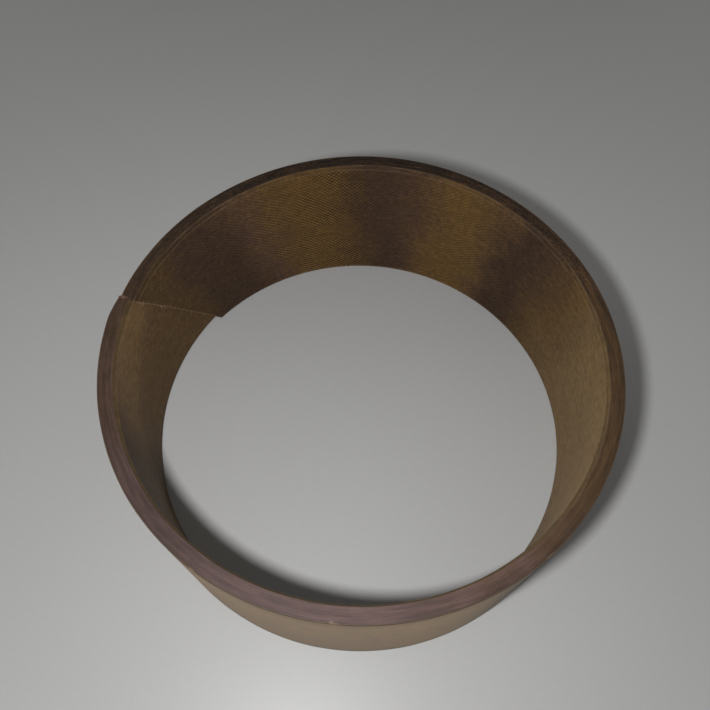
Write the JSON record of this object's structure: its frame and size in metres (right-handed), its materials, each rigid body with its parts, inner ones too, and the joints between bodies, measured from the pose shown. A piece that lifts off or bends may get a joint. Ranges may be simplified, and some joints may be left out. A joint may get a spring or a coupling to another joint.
{
  "type": "split guide ring",
  "caption": "Thin-walled split guide ring of cloth laminate with a slanted cut, chamfered bore edges and a band that springs open at the cut.",
  "frame": {"origin": "centre of the lower end face, on the ring's axis", "axes": "+Z along the ring's axis; the slanted cut is centred on -X at mid height, so +X is opposite the cut"},
  "size_m": [0.09, 0.09, 0.0345],
  "materials": {
    "cloth_laminate": "brown cotton cloth set in phenolic resin, fine weave, satin, with ply lines on the end faces"
  },
  "bodies": {
    "middle_arc": {"middle_arc": "cloth_laminate"},
    "rear_arc_1": {"rear_arc_1": "cloth_laminate"},
    "rear_arc_2": {"rear_arc_2": "cloth_laminate"},
    "rear_arc_3": {"rear_arc_3": "cloth_laminate"},
    "rear_arc_4": {"rear_arc_4": "cloth_laminate"},
    "rear_cut_end": {"rear_cut_end": "cloth_laminate"},
    "front_arc_1": {"front_arc_1": "cloth_laminate"},
    "front_arc_2": {"front_arc_2": "cloth_laminate"},
    "front_arc_3": {"front_arc_3": "cloth_laminate"},
    "front_arc_4": {"front_arc_4": "cloth_laminate"},
    "front_cut_end": {"front_cut_end": "cloth_laminate"}
  },
  "joints": [
    {"name": "spread", "type": "hinge", "parent": "middle_arc", "child": "rear_arc_1", "pos_m": [0.04318, 0.01268, 0.01725], "axis": [0, 0, -1], "range_deg": [0, 4], "stiffness_Nm_per_rad": 90},
    {"name": "rear_flex_2", "type": "hinge", "parent": "rear_arc_1", "child": "rear_arc_2", "pos_m": [0.02947, 0.03401, 0.01725], "axis": [0, 0, -1], "range_deg": [0, 3.4]},
    {"name": "rear_flex_3", "type": "hinge", "parent": "rear_arc_2", "child": "rear_arc_3", "pos_m": [0.0064, 0.04454, 0.01725], "axis": [0, 0, -1], "range_deg": [0, 2.35]},
    {"name": "rear_flex_4", "type": "hinge", "parent": "rear_arc_3", "child": "rear_arc_4", "pos_m": [-0.01869, 0.04093, 0.01725], "axis": [0, 0, -1], "range_deg": [0, 1.21]},
    {"name": "rear_flex_5", "type": "hinge", "parent": "rear_arc_4", "child": "rear_cut_end", "pos_m": [-0.03786, 0.02433, 0.01725], "axis": [0, 0, -1], "range_deg": [0, 0.344]},
    {"name": "front_flex_1", "type": "hinge", "parent": "middle_arc", "child": "front_arc_1", "pos_m": [0.04318, -0.01268, 0.01725], "axis": [0, 0, 1], "range_deg": [0, 4.02]},
    {"name": "front_flex_2", "type": "hinge", "parent": "front_arc_1", "child": "front_arc_2", "pos_m": [0.02947, -0.03401, 0.01725], "axis": [0, 0, 1], "range_deg": [0, 3.4]},
    {"name": "front_flex_3", "type": "hinge", "parent": "front_arc_2", "child": "front_arc_3", "pos_m": [0.0064, -0.04454, 0.01725], "axis": [0, 0, 1], "range_deg": [0, 2.35]},
    {"name": "front_flex_4", "type": "hinge", "parent": "front_arc_3", "child": "front_arc_4", "pos_m": [-0.01869, -0.04093, 0.01725], "axis": [0, 0, 1], "range_deg": [0, 1.21]},
    {"name": "front_flex_5", "type": "hinge", "parent": "front_arc_4", "child": "front_cut_end", "pos_m": [-0.03786, -0.02433, 0.01725], "axis": [0, 0, 1], "range_deg": [0, 0.344]}
  ],
  "couplings": [
    {"joint": "rear_flex_2", "follows": "spread", "ratio": 0.8445},
    {"joint": "rear_flex_3", "follows": "spread", "ratio": 0.583},
    {"joint": "rear_flex_4", "follows": "spread", "ratio": 0.2983},
    {"joint": "rear_flex_5", "follows": "spread", "ratio": 0.081},
    {"joint": "front_flex_1", "follows": "spread", "ratio": 1},
    {"joint": "front_flex_2", "follows": "spread", "ratio": 0.8445},
    {"joint": "front_flex_3", "follows": "spread", "ratio": 0.583},
    {"joint": "front_flex_4", "follows": "spread", "ratio": 0.2983},
    {"joint": "front_flex_5", "follows": "spread", "ratio": 0.081}
  ]
}
